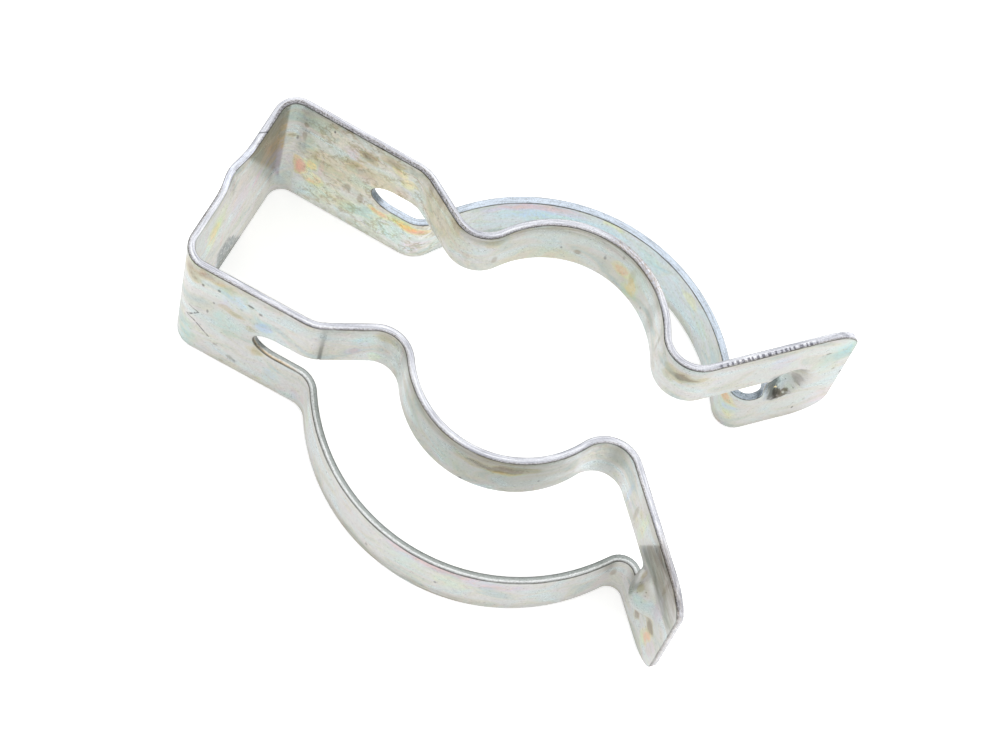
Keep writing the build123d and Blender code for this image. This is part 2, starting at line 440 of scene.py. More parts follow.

# each stain: distance along the flat strip from the web's middle (arm A positive), height,
# half size along and across, film, strength; stains of the grey darkening, grey lightening and
# pale blue sky entries are painted shade, painted highlights and painted reflections of the sky
INNER_STAINS = [
    (50.0, -7.6, 17.0, 4.6, "sky", 0.75),
    (36.0, -7.6, 5.0, 4.6, "sky", 0.5),
    (78.5, 0.0, 7.0, 10.0, "painted_shade", 0.4),
    (21.0, -8.6, 8.0, 3.6, "sky", 0.45),
    (15.5, 9.0, 3.5, 2.2, "painted_light", 0.5),
    (17.5, 1.0, 3.5, 2.5, "olive", 0.4),
    (21.5, 4.0, 3.0, 2.0, "olive", 0.45),
    (46.0, 8.0, 6.0, 4.5, "painted_shade", 0.45),
    (53.5, 6.5, 4.5, 5.0, "painted_shade", 0.55),
    (0.0, 0.0, 7.5, 11.0, "painted_light", 0.75),
    (12.4, 3.0, 1.4, 8.0, "painted_light", 0.55),
    (60.9, 7.5, 0.7, 4.5, "painted_light", 0.4),
    (58.9, 7.0, 0.8, 5.0, "painted_shade", 0.8),
    (31.0, 8.5, 3.0, 3.5, "olive", 0.4),
    (81.4, -2.4, 1.0, 1.6, "painted_shade", 0.6),
    (-6.4, 8.2, 0.3, 2.5, "pink", 0.35),
    (-4.6, 4.7, 1.0, 3.1, "yellow", 0.7),
    (-3.2, 6.5, 0.9, 2.8, "green", 0.5),
    (-2.3, -2.0, 0.3, 1.9, "pink", 0.5),
    (-0.7, 9.9, 0.3, 2.5, "brown", 0.2),
    (0.9, 3.0, 1.4, 4.4, "lilac", 0.5),
    (4.8, 1.0, 0.8, 1.2, "pink", 0.6),
    (10.7, 10.2, 0.9, 1.9, "teal", 0.4),
    (11.0, 4.0, 0.8, 0.4, "olive", 0.8),
    (11.7, 3.5, 0.16, 0.62, "dark", 0.5),
    (12.5, -3.8, 0.7, 1.6, "red", 0.75),
    (12.5, 5.0, 0.27, 0.94, "brown", 0.6),
    (12.5, 7.9, 0.3, 0.6, "brown", 0.7),
    (13.5, 4.0, 0.8, 1.6, "teal", 0.5),
    (13.7, -2.2, 0.5, 1.3, "yellow", 0.85),
    (14.0, 9.8, 1.3, 1.6, "teal", 0.5),
    (14.2, -4.5, 0.4, 0.6, "pale", 0.8),
    (14.5, -5.6, 0.8, 1.3, "orange", 0.6),
    (15.1, -1.2, 0.3, 2.2, "pink", 0.5),
    (15.8, 10.1, 0.12, 0.31, "dark", 0.8),
    (16.7, -7.2, 2.4, 1.9, "olive", 0.35),
    (17.1, 0.2, 1.5, 3.1, "olive", 0.3),
    (17.6, 5.1, 0.5, 0.9, "brown", 0.35),
    (18.2, 7.6, 0.8, 1.2, "pink", 0.45),
    (18.4, 4.6, 1.1, 0.9, "brown", 0.5),
    (18.5, -2.3, 0.4, 0.8, "brown", 0.75),
    (20.2, -3.6, 0.35, 1.3, "brown", 0.7),
    (20.2, 8.5, 0.9, 0.8, "brown", 0.6),
    (20.2, 2.9, 0.8, 1.2, "lilac", 0.5),
    (21.9, -4.4, 0.5, 0.9, "olive", 0.5),
    (22.5, -7.6, 3.5, 1.9, "teal", 0.35),
    (22.8, 10.5, 1.2, 0.9, "brown", 0.6),
    (22.6, -4.5, 1.2, 0.8, "orange", 0.75),
    (23.9, 9.0, 0.7, 0.6, "orange", 0.5),
    (24.7, 4.5, 0.9, 1.2, "pink", 0.4),
    (25.0, -3.8, 1.0, 0.8, "yellow", 0.6),
    (25.3, 7.4, 0.9, 0.9, "orange", 0.45),
    (25.9, -4.3, 0.9, 0.7, "orange", 0.6),
    (27.5, -9.0, 1.2, 1.6, "lilac", 0.5),
    (27.0, -4.8, 1.0, 0.8, "red", 0.7),
    (28.2, 11.6, 0.4, 2.5, "brown", 0.45),
    (30.0, 11.1, 0.4, 2.5, "brown", 0.4),
    (33.1, 11.7, 0.7, 2.2, "brown", 0.5),
    (35.0, 6.3, 0.4, 0.9, "olive", 0.4),
    (37.4, 10.6, 0.6, 0.9, "olive", 0.5),
    (37.9, 5.7, 0.3, 0.9, "brown", 0.6),
    (40.7, -6.2, 3.2, 1.2, "blue", 0.55),
    (41.0, -3.8, 4.3, 0.9, "pink", 0.7),
    (43.5, 3.6, 4.3, 2.5, "olive", 0.3),
    (45.5, 6.4, 0.12, 0.31, "dark", 0.6),
    (47.4, 6.1, 0.4, 0.6, "brown", 0.7),
    (50.2, -3.6, 1.1, 0.6, "orange", 0.4),
    (50.5, 7.8, 0.17, 0.50, "dark", 0.5),
    (52.5, 11.0, 0.17, 0.50, "dark", 0.4),
    (52.8, 7.9, 0.8, 1.2, "orange", 0.6),
    (54.3, 8.6, 0.4, 2.2, "olive", 0.5),
    (54.5, 6.2, 0.8, 2.2, "yellow", 0.75),
    (55.3, 10.0, 1.3, 1.9, "teal", 0.4),
    (55.9, -6.3, 1.5, 1.6, "blue", 0.3),
    (56.9, 4.8, 0.12, 0.31, "dark", 0.6),
    (62.4, 8.1, 0.3, 1.9, "brown", 0.6),
    (62.5, -5.0, 1.1, 0.9, "orange", 0.35),
    (65.7, -7.3, 0.9, 1.6, "teal", 0.4),
    (65.8, 8.7, 0.7, 1.6, "brown", 0.5),
    (67.3, 9.3, 1.3, 0.8, "brown", 0.8),
    (68.8, 9.9, 0.7, 0.6, "brown", 0.4),
    (74.0, -9.7, 0.6, 2.8, "teal", 0.35),
    (74.6, -12.2, 0.6, 1.6, "lilac", 0.35),
    (74.6, -5.2, 0.8, 1.2, "orange", 0.7),
    (75.1, -7.0, 0.7, 1.2, "blue", 0.6),
    (75.5, -8.4, 0.5, 0.9, "orange", 0.35),
    (78.3, 9.0, 1.3, 1.9, "pink", 0.3),
    (82.8, -9.7, 0.13, 0.37, "dark", 0.8),
    (83.6, 7.8, 0.3, 0.2, "dark", 0.7),
    (83.7, -7.5, 0.13, 0.31, "brown", 0.7),
    (84.1, 4.8, 1.1, 2.5, "teal", 0.55),
    (85.3, 1.9, 0.13, 0.37, "brown", 0.8),
    (85.4, 7.8, 1.3, 2.8, "teal", 0.6),
    (85.5, 8.1, 0.6, 1.2, "blue", 0.5),
    (86.0, -7.9, 2.0, 2.5, "lilac", 0.35),
    (86.5, 0.0, 0.16, 0.47, "dark", 0.9),
]
# stains of the grey darkening and lightening entries here are painted shade and painted highlights, among
# them the dark and light streak pairs across arm B's straps
OUTER_STAINS = [
    (-18.7, 2.4, 0.7, 0.6, "brown", 0.5),
    (-19.6, -3.2, 0.9, 0.6, "olive", 0.5),
    (-16.0, 1.5, 4.0, 4.0, "painted_shade", 0.4),
    (-46.5, 8.5, 6.0, 3.6, "painted_shade", 0.2),
    (-54.5, 8.0, 4.5, 3.6, "painted_shade", 0.6),
    (-29.8, 8.0, 3.0, 5.0, "painted_light", 0.4),
    (-36.6, 8.0, 0.9, 5.0, "painted_shade", 0.8),
    (-34.6, 8.0, 0.8, 5.0, "painted_light", 0.6),
    (-66.0, 8.5, 0.9, 4.5, "painted_shade", 0.7),
    (-63.0, 8.5, 1.2, 4.5, "painted_light", 0.6),
    (-79.2, 2.85, 0.42, 0.6, "olive", 0.8),
    (-80.6, -1.4, 0.38, 0.55, "olive", 0.75),
    (-78.0, 3.4, 0.35, 0.5, "olive", 0.7),
    (-80.0, 1.4, 0.5, 0.8, "blue", 0.35),
    (-80.2, 1.0, 2.6, 3.6, "painted_shade", 0.6),
    (-83.7, -6.0, 0.7, 1.9, "lilac", 0.4),
    (-82.6, -6.0, 0.5, 1.6, "orange", 0.8),
    (-82.3, 3.6, 0.7, 3.1, "pink", 0.35),
    (-82.3, -8.9, 0.5, 1.6, "yellow", 0.3),
    (-82.1, -6.5, 0.6, 1.9, "orange", 0.45),
    (-81.4, 10.7, 0.3, 4.4, "brown", 0.5),
    (-82.0, -3.2, 0.6, 1.4, "brown", 1.1),
    (-79.1, -7.1, 0.5, 1.2, "brown", 1.2),
    (-78.4, -5.1, 0.6, 1.3, "blue", 1.2),
    (-78.2, -1.8, 0.7, 1.2, "brown", 1.6),
    (-76.9, -0.5, 0.4, 1.0, "brown", 1.3),
    (-74.1, 8.1, 0.5, 3.1, "yellow", 0.55),
    (-73.3, -6.8, 0.4, 1.2, "brown", 0.7),
    (-73.0, 7.6, 0.5, 2.5, "olive", 0.3),
    (-72.1, 6.5, 0.3, 2.2, "brown", 0.5),
    (-72.0, -9.4, 0.9, 1.2, "lilac", 0.3),
    (-70.7, 4.9, 0.3, 1.2, "lilac", 0.6),
    (-69.8, 6.5, 0.3, 2.8, "blue", 0.6),
    (-59.0, -4.7, 3.2, 0.9, "pink", 0.55),
    (-57.1, 6.3, 0.13, 0.25, "dark", 0.7),
    (-54.8, -6.2, 1.7, 1.9, "green", 0.35),
    (-53.4, 8.9, 1.7, 0.5, "yellow", 0.8),
    (-53.3, -8.1, 0.17, 0.31, "dark", 0.6),
    (-53.3, -3.2, 3.7, 0.8, "pink", 0.7),
    (-52.3, 9.8, 3.2, 0.8, "brown", 0.75),
    (-49.5, -3.4, 2.8, 0.9, "pink", 0.6),
    (-49.4, -5.8, 2.2, 1.9, "teal", 0.4),
    (-49.2, 3.1, 0.15, 0.31, "dark", 0.8),
    (-47.6, 6.5, 1.9, 1.6, "teal", 0.35),
    (-44.6, -10.1, 0.15, 0.31, "dark", 0.5),
    (-42.1, 6.8, 0.9, 1.2, "blue", 0.35),
    (-39.6, 8.4, 0.28, 3.75, "teal", 0.5),
    (-36.0, 10.3, 0.28, 3.75, "pink", 0.5),
    (-33.5, 10.9, 1.3, 0.9, "brown", 0.35),
    (-32.3, 4.2, 0.5, 0.9, "yellow", 0.4),
    (-30.9, 8.9, 1.0, 1.2, "blue", 0.5),
    (-30.0, 5.9, 0.8, 0.6, "pink", 0.6),
    (-29.7, -7.4, 0.5, 2.5, "yellow", 0.35),
    (-26.5, -9.2, 0.4, 1.2, "pink", 0.4),
    (-25.2, -9.8, 0.5, 1.2, "lilac", 0.5),
    (-21.9, -7.9, 0.7, 1.6, "blue", 0.5),
    (-20.4, -10.9, 0.5, 0.3, "olive", 0.7),
    (-20.3, 5.2, 1.2, 1.2, "blue", 0.7),
    (-19.7, -3.0, 0.5, 1.2, "brown", 0.45),
    (-19.6, 8.3, 0.22, 0.31, "dark", 0.7),
    (-18.4, 9.1, 0.4, 0.3, "dark", 0.8),
    (-17.5, -9.7, 0.22, 0.47, "dark", 0.45),
    (-17.4, 6.8, 0.22, 0.31, "dark", 0.3),
    (-16.6, 4.2, 0.9, 0.6, "brown", 0.5),
    (-16.8, 8.6, 1.6, 1.8, "blue", 0.55),
    (-16.8, -9.2, 0.5, 0.5, "dark", 0.45),
    (-16.2, -0.6, 1.2, 2.2, "teal", 0.5),
    (-15.4, 4.9, 0.6, 0.6, "brown", 0.4),
    (-16.0, -11.6, 0.3, 0.3, "olive", 0.6),
    (-15.8, 10.7, 1.1, 0.9, "olive", 0.55),
    (-15.3, 6.0, 0.7, 1.2, "pink", 0.4),
    (-15.0, -7.7, 0.3, 0.3, "dark", 0.4),
    (-14.9, 0.9, 0.9, 1.9, "teal", 0.6),
    (-14.6, 8.7, 0.19, 0.37, "dark", 0.7),
    (-14.2, 4.4, 0.14, 0.31, "dark", 0.55),
    (-14.1, 11.0, 0.8, 0.9, "brown", 0.5),
    (-13.6, 1.0, 0.14, 0.50, "dark", 0.6),
    (-12.7, 11.3, 1.0, 1.2, "brown", 0.6),
    (-12.7, 7.9, 0.17, 0.37, "dark", 0.7),
    (-12.5, 11.6, 0.4, 0.6, "orange", 0.45),
    (-11.4, -9.4, 0.8, 3.8, "teal", 0.6),
    (-11.3, 9.9, 0.7, 2.2, "brown", 0.6),
]

# places on the flat strip of the corners of the scratch on arm B's flat, of the crease across
# arm B's upper strap and of the crack in the web's upper edge
SCRATCH = [(-11.5, -0.2), (-12.6, -0.8), (-11.4, -3.2), (-12.1, -3.6), (-14.1, -6.4)]
CREASE_AT = -26.6
CRACK_AT = 5.3

# painted dark reflections inside arm A's dimple, on its steep wall by the slot's end: place, half size,
# share of the colour left, strength; and the painted glint there, with its own colour
BOWL_DARK_REFLECTIONS = [
    ((79.5, -2.3), (0.78, 2.3), (0.19, 0.20, 0.19), 0.95),
    ((80.3, -3.95), (1.0, 0.36), (0.24, 0.21, 0.16), 0.9),
    ((82.05, -1.5), (0.5, 0.8), (0.62, 0.60, 0.58), 0.8),
    ((78.5, -2.6), (0.30, 1.4), (0.60, 0.66, 0.80), 0.7),
    ((78.7, 3.6), (0.9, 0.8), (0.45, 0.50, 0.52), 0.8),
]
BOWL_PAINTED_GLINTS = [
    ((79.9, -3.35), (0.24, 0.12), (0.80, 0.66, 0.36), 0.8),
]


def lay_films(mesh):
    """Keeps for each vertex how strongly each film, and each painted shade, highlight and sky reflection,
    covers it.
    """
    count = len(mesh.vertices)
    place = np.empty(count * 3)
    mesh.attributes["place"].data.foreach_get("vector", place)
    place = place.reshape(-1, 3)
    warp = np.array([noise.noise_vector(Vector(p) * patch_waves) for p in place])
    along = place[:, 0] + push_along * warp[:, 0]
    height = place[:, 1] + push_across * warp[:, 1]
    nearly_skin = 0.9 * skin_apart
    for film in FILM:
        cover = np.zeros(count)
        for face, stains in ((-1, INNER_STAINS), (1, OUTER_STAINS)):
            on_face = place[:, 2] * face > nearly_skin
            for u, z, half_u, half_z, name, strength in stains:
                if name == film and half_u > small_stain:
                    far = np.sqrt(((along - u) / half_u) ** 2 + ((height - z) / half_z) ** 2)
                    fall = np.clip(fall_end - far, 0.0, 1.0) * strength * on_face
                    cover = np.maximum(cover, fall)
        layer = mesh.attributes.new("film_" + film, "FLOAT", "POINT")
        layer.data.foreach_set("value", cover)


def build_strip():
    """The whole clip as one closed mesh, with its place on the flat strip kept per vertex."""
    strip = Strip()
    for arm in (ARM_A, ARM_B):
        build_arm(strip, arm)
    mesh = bpy.data.meshes.new("clip_sheet")
    bm = bmesh.new()
    cut = bm.verts.layers.float.new("cut")
    place = bm.verts.layers.float_vector.new("place")
    verts = [bm.verts.new(p) for p in strip.points]
    for v, c, p in zip(verts, strip.cuts, strip.places):
        v[cut] = c
        v[place] = p
    for q in strip.quads:
        bm.faces.new([verts[i] for i in q])
    bmesh.ops.remove_doubles(bm, verts=bm.verts, dist=weld)
    bmesh.ops.recalc_face_normals(bm, faces=bm.faces)
    for f in bm.faces:
        f.smooth = True
    bm.to_mesh(mesh)
    bm.free()
    lay_films(mesh)
    piece = bpy.data.objects.new("clip_sheet", mesh)
    bpy.context.scene.collection.objects.link(piece)
    return piece


class Nodes:
    """Short hand for building a node tree."""

    def __init__(self, tree):
        self.tree = tree

    def add(self, kind, *inputs, **settings):
        node = self.tree.nodes.new(kind)
        for name, value in settings.items():
            setattr(node, name, value)
        for socket, value in zip(node.inputs, inputs):
            self.put(socket, value)
        return node

    def put(self, socket, value):
        if value is None:
            return
        if isinstance(value, bpy.types.NodeSocket):
            self.tree.links.new(value, socket)
        else:
            socket.default_value = value

    def math(self, how, *inputs, clamp=False):
        return self.add("ShaderNodeMath", *inputs, operation=how, use_clamp=clamp).outputs[0]

    def times(self, product, *others):
        """All the values multiplied together."""
        for other in others:
            product = self.math("MULTIPLY", product, other)
        return product

    def line(self, value, slope, start):
        """value times slope, plus start."""
        return self.math("MULTIPLY_ADD", value, slope, start)

    def away(self, value, centre):
        """Distance of a value from a centre, whichever side it lies on."""
        return self.math("ABSOLUTE", self.math("SUBTRACT", value, centre))

    def vector(self, how, *inputs):
        node = self.add("ShaderNodeVectorMath", operation=how)
        for socket, value in zip([s for s in node.inputs if s.enabled], inputs):
            self.put(socket, value)
        return node.outputs["Value" if how in ("LENGTH", "DOT_PRODUCT", "DISTANCE") else "Vector"]

    def scaled(self, where, by):
        return self.vector("MULTIPLY", where, by)

    def fade(self, value, start, end, low=0.0, high=1.0):
        """low at start, high at end, smooth between."""
        node = self.add("ShaderNodeMapRange", value, start, end, low, high)
        node.interpolation_type = "SMOOTHSTEP"
        return node.outputs[0]

    def between(self, value, begins, ends):
        """1 between two limits, each given as the value where it is 0 and the one where it is 1."""
        return self.times(self.fade(value, *begins), self.fade(value, *ends))

    def blend(self, share, a, b, how="MIX"):
        node = self.add("ShaderNodeMix", data_type="RGBA", blend_type=how)
        self.put(node.inputs[0], share)
        self.put(node.inputs[6], a if isinstance(a, bpy.types.NodeSocket) else (*a, 1.0))
        self.put(node.inputs[7], b if isinstance(b, bpy.types.NodeSocket) else (*b, 1.0))
        return node.outputs[2]

    def tint(self, colour, share, by):
        """The colour multiplied by another one, as far as share says."""
        return self.blend(share, colour, by, "MULTIPLY")

    def noise(self, where, scale, detail=3.0, rough=0.5, colour=False, twist=0.0, flat=False):
        node = self.add("ShaderNodeTexNoise", noise_dimensions="2D" if flat else "3D")
        self.put(node.inputs["Vector"], where)
        self.put(node.inputs["Scale"], scale)
        self.put(node.inputs["Detail"], detail)
        self.put(node.inputs["Roughness"], rough)
        self.put(node.inputs["Distortion"], twist)
        return node.outputs["Color" if colour else 0]

    def cells(self, where, scale, feature):
        node = self.add("ShaderNodeTexVoronoi", feature=feature, voronoi_dimensions="2D")
        self.put(node.inputs["Vector"], where)
        self.put(node.inputs["Scale"], scale)
        return node.outputs["Distance"]

    def ramp(self, value, *stops):
        """Colours or greys at their positions, straight between."""
        node = self.add("ShaderNodeValToRGB", value)
        elements = node.color_ramp.elements
        elements[1].position = stops[-1][0]
        elements[0].position = stops[0][0]
        for at, _ in stops[1:-1]:
            elements.new(at)
        for element, (at, colour) in zip(sorted(elements, key=lambda e: e.position), stops):
            element.color = (*colour, 1.0) if isinstance(colour, tuple) else (colour, colour, colour, 1.0)
        return node.outputs[0]


# ramps of the plating, and of the painted dark reflections in arm A's corner and on ear B: position and
# colour of each stop
PLAIN_FILM = [
    (0.28, (0.45, 0.53, 0.54)),
    (0.42, (0.51, 0.54, 0.52)),
    (0.50, (0.55, 0.54, 0.53)),
    (0.58, (0.54, 0.54, 0.48)),
    (0.72, (0.46, 0.52, 0.51)),
]
FRINGES = [
    (0.0, (0.96, 1.00, 1.03)),
    (0.3, (1.02, 1.03, 0.90)),
    (0.5, (1.05, 0.97, 0.92)),
    (0.7, (1.01, 0.95, 1.01)),
    (1.0, (0.96, 1.00, 1.03)),
]
# colours of the painted dark reflection in arm A's corner
FACET_REFLECTION_COLOURS = [
    (0.20, (0.60, 0.53, 0.66)),
    (0.38, (0.56, 0.49, 0.54)),
    (0.52, (0.72, 0.53, 0.30)),
    (0.62, (0.52, 0.45, 0.34)),
    (0.80, (0.44, 0.42, 0.34)),
]
# colours of the painted dark reflection on ear B
EAR_REFLECTION_COLOURS = [
    (0.40, (0.38, 0.41, 0.40)),
    (0.53, (0.45, 0.45, 0.41)),
    (0.64, (0.52, 0.48, 0.41)),
    (0.74, (0.48, 0.42, 0.36)),
    (0.83, (0.30, 0.26, 0.22)),
]
EDGE_METAL = [
    (0.30, (0.36, 0.37, 0.42)),
    (0.50, (0.64, 0.65, 0.70)),
    (0.68, (0.88, 0.89, 0.92)),
]
SLOT_METAL = [
    (0.0, (0.34, 0.37, 0.36)),
    (0.48, (0.46, 0.49, 0.48)),
    (0.60, (0.86, 0.88, 0.88)),
    (0.76, (0.70, 0.72, 0.72)),
    (0.86, (0.34, 0.35, 0.34)),
]

# share of the colour under it that each kind of mark leaves
LEAVES = {
    "sand": (0.68, 0.65, 0.60),
    "net": (0.72, 0.65, 0.53),
    "eyes": (1.16, 1.11, 1.15),
    "flat_a": (1.24, 1.22, 1.14),
    "pit": (0.30, 0.28, 0.25),
    "scratch": (0.18, 0.18, 0.18),
    "scrape": (0.24, 0.29, 0.31),
    # painted shade in the crease
    "crease": (0.30, 0.30, 0.28),
    "dark_top_band": (0.50, 0.46, 0.37),
    "rough": (0.40, 0.37, 0.34),
    "rough_long_arm": (0.66, 0.66, 0.66),
    "slot_end": (0.34, 0.35, 0.34),
    "ear_slot": (0.27, 0.30, 0.29),
    "tan": (0.98, 0.74, 0.46),
    "crumbs": (0.52, 0.52, 0.50),
    "rust": (0.62, 0.52, 0.40),
    "brown_end_edge": (0.58, 0.53, 0.47),
    # painted dark reflection where an edge turns into a face
    "outline": (0.26, 0.25, 0.23),
    "cutter": (0.30, 0.30, 0.33),
    "crack": (0.20, 0.20, 0.20),
}
blue_metal = (0.68, 0.76, 0.86)
struck_metal = (0.84, 0.88, 1.0)


class Plate(Nodes):
    """The plating's node tree, with the values that its layers share."""

    def __init__(self, tree):
        super().__init__(tree)
        self.place = self.add("ShaderNodeAttribute", attribute_name="place").outputs["Vector"]
        self.cut = self.add("ShaderNodeAttribute", attribute_name="cut").outputs["Fac"]
        self.along, self.height, self.skin = self.add("ShaderNodeSeparateXYZ", self.place).outputs

        # how far round a cut edge, and which of the two faces
        self.edge = self.math("ABSOLUTE", self.cut)
        self.inside = self.fade(self.skin, -14.0, -19.0)
        self.outside = self.fade(self.skin, 14.0, 19.0)
        self.across = self.math("DIVIDE", self.skin, skin_apart)
        # 1 on arm A's inner and arm B's outer face, -1 on the two others
        other_arm = self.math("SIGN", self.math("MULTIPLY", self.along, -1.0))
        self.shown = self.times(self.across, other_arm)

        # noises laid along the flat strip, so that they run through every bend
        ground = self.scaled(self.place, (1.0, 0.6, 0.05))
        self.ground = ground
        self.coarse = self.noise(self.place, 0.5, 2.0, 0.55, flat=True)
        self.fine = self.noise(ground, 2.8, 3.0, 0.62)
        self.grain = self.noise(ground, 5.5, 1.0)
        self.streaks = self.noise(self.scaled(self.place, (0.3, 2.2, 0.13)), 1.0, 3.0, 0.65)
        self.worn = self.noise(self.scaled(self.place, (0.35, 1.1, 0.1)), 1.0, 3.0, 0.6)
        wander = self.noise(self.place, 0.9, 2.0, 0.6, colour=True, flat=True)
        self.wander = self.vector("SUBTRACT", wander, (0.5, 0.5, 0.5))
        self.ragged = self.vector("MULTIPLY_ADD", self.wander, (1.0, 1.6, 0.0), self.place)

        # the two faces take their film from different places
        moved = self.line(self.skin, 2.0, self.along)
        self.by_face = self.add("ShaderNodeCombineXYZ", moved, self.height, 0.0).outputs[0]
        stretched = self.scaled(self.by_face, (0.7, 1.0, 1.0))
        self.hue = self.noise(stretched, 0.26, 2.5, 0.55, twist=0.6, flat=True)
        pit = self.fade(self.cells(self.by_face, 0.95, "F1"), 0.11, 0.04)
        self.pit = self.times(pit, self.fade(self.coarse, 0.46, 0.54))


def plain_film(n):
    """Broad soft hues, fainter interference fringes, grain and sandy places."""
    fringe_count = 3.4
    colour = n.ramp(n.hue, *PLAIN_FILM)
    contours = n.noise(n.by_face, 0.3, 1.6, 0.5, twist=0.8, flat=True)
    fringe = n.math("FRACT", n.times(contours, fringe_count))
    colour = n.tint(colour, n.fade(n.coarse, 0.42, 0.66, 0.1, 0.6), n.ramp(fringe, *FRINGES))
    colour = n.tint(colour, 1.0, n.ramp(n.fine, (0.25, 0.85), (0.75, 1.11)))
    colour = n.tint(colour, 1.0, n.ramp(n.grain, (0.30, 0.91), (0.50, 1.0), (0.70, 1.05)))
    sand = n.times(n.fade(n.grain, 0.62, 0.70), n.fade(n.coarse, 0.35, 0.6, 0.2, 0.6))
    return n.tint(colour, sand, LEAVES["sand"])


def add_flecks(n, colour):
    """The flat of arm A is flecked inside: pale ovals in a net of olive film."""
    begins, ends = (11.5, 14.5), (36.0, 28.0)
    eye_strength, lift_strength = 0.6, 0.8
    drift = n.vector("MULTIPLY_ADD", n.wander, (2.6, 3.4, 0.0), n.place)
    flecks = n.cells(n.scaled(drift, (0.62, 0.42, 0.0)), 1.0, "DISTANCE_TO_EDGE")
    flat_a = n.times(n.between(n.along, begins, ends), n.inside)
    net = n.times(n.fade(flecks, 0.18, 0.02), flat_a, n.fade(n.coarse, 0.42, 0.6, 0.1, 0.9))
    eyes = n.times(n.fade(flecks, 0.22, 0.36), flat_a)
    colour = n.tint(colour, net, LEAVES["net"])
    colour = n.tint(colour, n.times(eyes, eye_strength), LEAVES["eyes"])
    return n.tint(colour, n.times(flat_a, lift_strength), LEAVES["flat_a"])


def add_patches(n, colour):
    """Patches of thicker film, and the painted shade, highlights and sky reflections, from the vertex
    layers, their outlines broken up.
    """
    none, thin_from, thin_to, thick_from = 0.08, 0.28, 0.42, 0.70
    broken = n.line(n.fine, 1.1, 0.45)
    for film, (thin, thick) in FILM.items():
        cover = n.add("ShaderNodeAttribute", attribute_name="film_" + film).outputs["Fac"]
        stops = ((none, 1.0), (thin_from, thin), (thin_to, thin), (thick_from, thick))
        colour = n.tint(colour, 1.0, n.ramp(n.times(cover, broken), *stops))
    return colour


def oval(n, at, half, face, where):
    """How far a point lies from an oval's middle, 1 on its outline."""
    size = (1 / half[0], 1 / half[1], 1.0)
    centre = (-at[0] / half[0], -at[1] / half[1], -face * skin_apart)
    return n.vector("LENGTH", n.vector("MULTIPLY_ADD", where, size, centre))


def add_specks(n, colour):
    """Small pits and specks in their places, and stray pits all over."""
    clear, full = 1.4, 0.6
    stray_strength = 0.65
    for face, stains in ((-1, INNER_STAINS), (1, OUTER_STAINS)):
        for u, z, half_u, half_z, film, strength in stains:
            if half_u <= small_stain:
                far = oval(n, (u, z), (half_u, half_z), face, n.place)
                colour = n.tint(colour, n.fade(far, clear, full, 0.0, strength), FILM[film][1])
    return n.tint(colour, n.times(n.pit, stray_strength), LEAVES["pit"])


def add_scratch(n, colour):
    """Scratch on arm B's flat: a zigzag of short straight cuts."""
    clear, full = 0.19, 0.06
    scratch = None
    for start, end in zip(SCRATCH, SCRATCH[1:]):
        run = Vector(end) - Vector(start)
        offset = n.vector("SUBTRACT", n.place, (*start, skin_apart))
        share = n.vector("DOT_PRODUCT", offset, (*run, 0.0))
        share = n.math("MULTIPLY", share, 1 / run.length_squared, clamp=True)
        shares = n.add("ShaderNodeCombineXYZ", share, share, share).outputs[0]
        foot = n.vector("MULTIPLY_ADD", shares, (-run.x, -run.y, 0.0), offset)
        mark = n.fade(n.vector("LENGTH", foot), clear, full)
        scratch = mark if scratch is None else n.math("MAXIMUM", scratch, mark)
    scratch = n.times(scratch, n.fade(n.fine, 0.38, 0.52, 0.15, 0.95))
    return n.tint(colour, scratch, LEAVES["scratch"])


def add_corner_reflection(n, colour):
    """Painted dark reflection inside arm A's corner, as a facet narrowing downwards."""
    left_side, right_side, lower_end = (6.4, 7.2), (10.2, 9.8), (-10.5, -7.0)
    lean = 0.382
    corner_reflection = n.times(
        n.fade(n.line(n.height, lean, n.along), *left_side),
        n.fade(n.along, *right_side),
        n.fade(n.height, *lower_end),
        n.inside,
        n.fade(n.fine, 0.2, 0.6, 0.7, 1.0),
    )
    # colour of the painted reflection, changing with height and broad noise
    reflection_tone = n.line(n.coarse, 0.7, n.line(n.height, 0.03, 0.08))
    return n.tint(colour, corner_reflection, n.ramp(reflection_tone, *FACET_REFLECTION_COLOURS))


def add_ear_reflection(n, colour):
    """Painted dark reflection on ear B beside the dimple, as a band starting at a sharp line."""
    begins, ends, lower_side = (-73.60, -73.95), (-86.0, -79.0), (4.4, 5.8)
    begin_lean, end_wave = 0.30, 5.0
    lowest_at, side_lean = -79.0, 0.25
    above = n.line(n.away(n.along, lowest_at), side_lean, n.height)
    band = n.times(
        n.fade(n.line(n.height, begin_lean, n.along), *begins),
        n.fade(n.line(n.coarse, end_wave, n.along), *ends),
        n.fade(above, *lower_side),
        n.outside,
        n.fade(n.worn, 0.30, 0.58, 0.45, 1.0),
    )
    reflection_tone = n.line(n.worn, 0.5, n.line(n.height, 0.05, -0.06))
    return n.tint(colour, band, n.ramp(reflection_tone, *EAR_REFLECTION_COLOURS))


def add_scrape(n, colour):
    """Scraped patch inside, at the web's lower edge."""
    slanting_side, left_side, upper_side = (-5.8, -7.0), (-3.2, -2.4), (-4.4, -6.0)
    slant = 2.1
    along, height, _ = n.add("ShaderNodeSeparateXYZ", n.ragged).outputs
    scrape = n.times(
        n.fade(n.line(along, slant, height), *slanting_side),
        n.fade(along, *left_side),
        n.inside,
        n.fade(height, *upper_side),
        n.fade(n.fine, 0.40, 0.54, 0.3, 0.95),
    )
    return n.tint(colour, scrape, LEAVES["scrape"])


